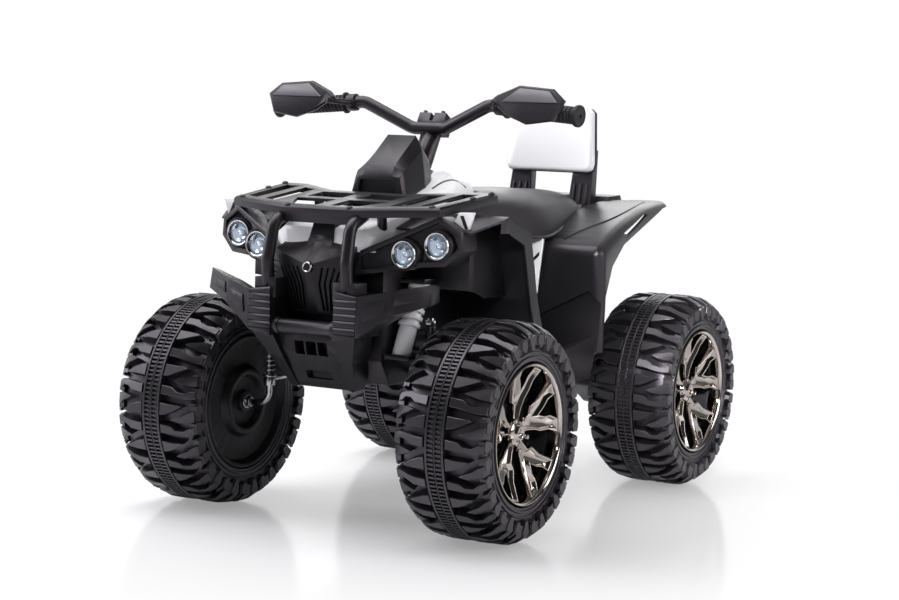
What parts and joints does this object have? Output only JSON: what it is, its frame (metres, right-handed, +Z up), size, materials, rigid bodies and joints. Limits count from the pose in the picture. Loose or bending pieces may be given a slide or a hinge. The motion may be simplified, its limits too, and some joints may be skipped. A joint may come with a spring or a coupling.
{
  "type": "kids quad bike",
  "caption": "Battery ride-on quad bike for children: lugged plastic tyres, sprung steered front wheels, bull bar, rack, hand guards, moulded shell, saddle and backrest.",
  "frame": {"origin": "centre of the bounding box at ground level, midway between the axles and under the middle of the vehicle", "axes": "+Z up, the vehicle faces -Y, +X is the rider's left"},
  "size_m": [0.786, 1.165, 0.8168],
  "materials": {
    "tyre_black": "moulded, matt",
    "rim_bronze": "smoked bronze plating on plastic",
    "wheel_core_black": "satin",
    "bright_steel": "zinc plated",
    "frame_black": "satin black powder coat",
    "body_black": "satin moulded plastic",
    "grip_rubber": "matt ribbed",
    "window_grey": "smooth dark grey",
    "shell_white": "glossy white moulding",
    "bezel_chrome": "bright plating",
    "lens_clear": "clear, slightly blue",
    "seat_black": "fine grain",
    "button_red": "gloss",
    "battery_case": "matt",
    "gear_case": "satin",
    "motor_can": "plain"
  },
  "bodies": {
    "chassis": {"backrest_frame": "body_black", "backrest_pad": "shell_white", "battery": "battery_case", "bull_bar_posts": "body_black", "bumpers": "body_black", "drive_motors": "motor_can", "footboards": "body_black", "front_crossmember": "frame_black", "front_fascia": "body_black", "front_fender_left": "body_black", "front_fender_right": "body_black", "front_rack": "body_black", "front_shocks": "shell_white", "gearboxes": "gear_case", "headlight_bezels": "bezel_chrome", "headlight_housings": "body_black", "headlight_lenses": "lens_clear", "kingpin_spring_left": "bright_steel", "kingpin_spring_right": "bright_steel", "lower_body": "body_black", "rear_axle": "bright_steel", "rear_axle_bracket": "frame_black", "rear_axle_nuts": "bright_steel", "rear_fender_left": "body_black", "rear_fender_right": "body_black", "seat": "seat_black", "side_trims": "shell_white", "skid_plate": "body_black", "steering_cowl": "body_black", "tail_panel": "body_black", "upper_shell": "shell_white", "winch_roller": "body_black"},
    "steering": {"handlebar": "frame_black", "handlebar_clamp": "frame_black", "grips": "grip_rubber", "hand_guards": "body_black", "hand_guard_windows": "window_grey", "steering_shaft": "frame_black"},
    "tie_rod": {"tie_rod": "frame_black"},
    "pedal": {"foot_pedal": "body_black"},
    "button": {"power_button": "button_red"},
    "switch": {"direction_switch": "body_black"},
    "slider_left": {"spring_seat_left": "bright_steel"},
    "knuckle_left": {"stub_axle_left": "bright_steel", "front_axle_nuts_left": "bright_steel"},
    "front_wheel_left": {"front_tyre_left": "tyre_black", "front_rim_left": "rim_bronze", "front_wheel_core_left": "wheel_core_black"},
    "rear_wheel_left": {"rear_tyre_left": "tyre_black", "rear_rim_left": "rim_bronze", "rear_wheel_core_left": "wheel_core_black"},
    "slider_right": {"spring_seat_right": "bright_steel"},
    "knuckle_right": {"stub_axle_right": "bright_steel", "front_axle_nuts_right": "bright_steel"},
    "front_wheel_right": {"front_tyre_right": "tyre_black", "front_rim_right": "rim_bronze", "front_wheel_core_right": "wheel_core_black"},
    "rear_wheel_right": {"rear_tyre_right": "tyre_black", "rear_rim_right": "rim_bronze", "rear_wheel_core_right": "wheel_core_black"}
  },
  "joints": [
    {"name": "handlebar_steer", "type": "hinge", "parent": "chassis", "child": "steering", "pos_m": [0, -0.1075, 0.711], "axis": [0, 0.5, 0.866], "range_deg": [-30, 30]},
    {"name": "tie_rod_slide", "type": "slide", "parent": "chassis", "child": "tie_rod", "axis": [-1, 0, 0], "range_m": [-0.0165, 0.0165]},
    {"name": "front_suspension_left", "type": "slide", "parent": "chassis", "child": "slider_left", "axis": [0, 0, 1], "range_m": [0, 0.015], "stiffness_N_per_m": 4000, "springref_m": -0.02, "deforming": ["kingpin_spring_left"]},
    {"name": "front_steer_left", "type": "hinge", "parent": "slider_left", "child": "knuckle_left", "pos_m": [0.175, -0.3825, 0.25], "axis": [0, 0, 1], "range_deg": [-15.2, 15.2]},
    {"name": "front_wheel_spin_left", "type": "hinge", "parent": "knuckle_left", "child": "front_wheel_left", "pos_m": [0.303, -0.3825, 0.2], "axis": [1, 0, 0], "continuous": true},
    {"name": "rear_wheel_spin_left", "type": "hinge", "parent": "chassis", "child": "rear_wheel_left", "pos_m": [0.303, 0.3825, 0.2], "axis": [1, 0, 0], "continuous": true},
    {"name": "front_suspension_right", "type": "slide", "parent": "chassis", "child": "slider_right", "axis": [0, 0, 1], "range_m": [0, 0.015], "stiffness_N_per_m": 4000, "springref_m": -0.02, "deforming": ["kingpin_spring_right"]},
    {"name": "front_steer_right", "type": "hinge", "parent": "slider_right", "child": "knuckle_right", "pos_m": [-0.175, -0.3825, 0.25], "axis": [0, 0, 1], "range_deg": [-15.2, 15.2]},
    {"name": "front_wheel_spin_right", "type": "hinge", "parent": "knuckle_right", "child": "front_wheel_right", "pos_m": [-0.303, -0.3825, 0.2], "axis": [1, 0, 0], "continuous": true},
    {"name": "rear_wheel_spin_right", "type": "hinge", "parent": "chassis", "child": "rear_wheel_right", "pos_m": [-0.303, 0.3825, 0.2], "axis": [1, 0, 0], "continuous": true},
    {"name": "pedal_press", "type": "hinge", "parent": "chassis", "child": "pedal", "pos_m": [-0.205, 0.0095, 0.3123], "axis": [1, 0, 0], "range_deg": [0, 10], "stiffness_Nm_per_rad": 3, "springref_deg": -6.88},
    {"name": "power_button_press", "type": "slide", "parent": "chassis", "child": "button", "axis": [0, -0.6736, -0.7391], "range_m": [0, 0.003], "stiffness_N_per_m": 400, "springref_m": -0.003},
    {"name": "direction_switch_rock", "type": "hinge", "parent": "chassis", "child": "switch", "pos_m": [0.014, -0.19336, 0.69575], "axis": [1, 0, 0], "range_deg": [-8, 8]}
  ],
  "couplings": [
    {"joint": "tie_rod_slide", "follows": "handlebar_steer", "m_per_rad": 0.0305},
    {"joint": "front_steer_left", "follows": "handlebar_steer", "ratio": 0.4976},
    {"joint": "front_steer_right", "follows": "handlebar_steer", "ratio": 0.4976}
  ]
}
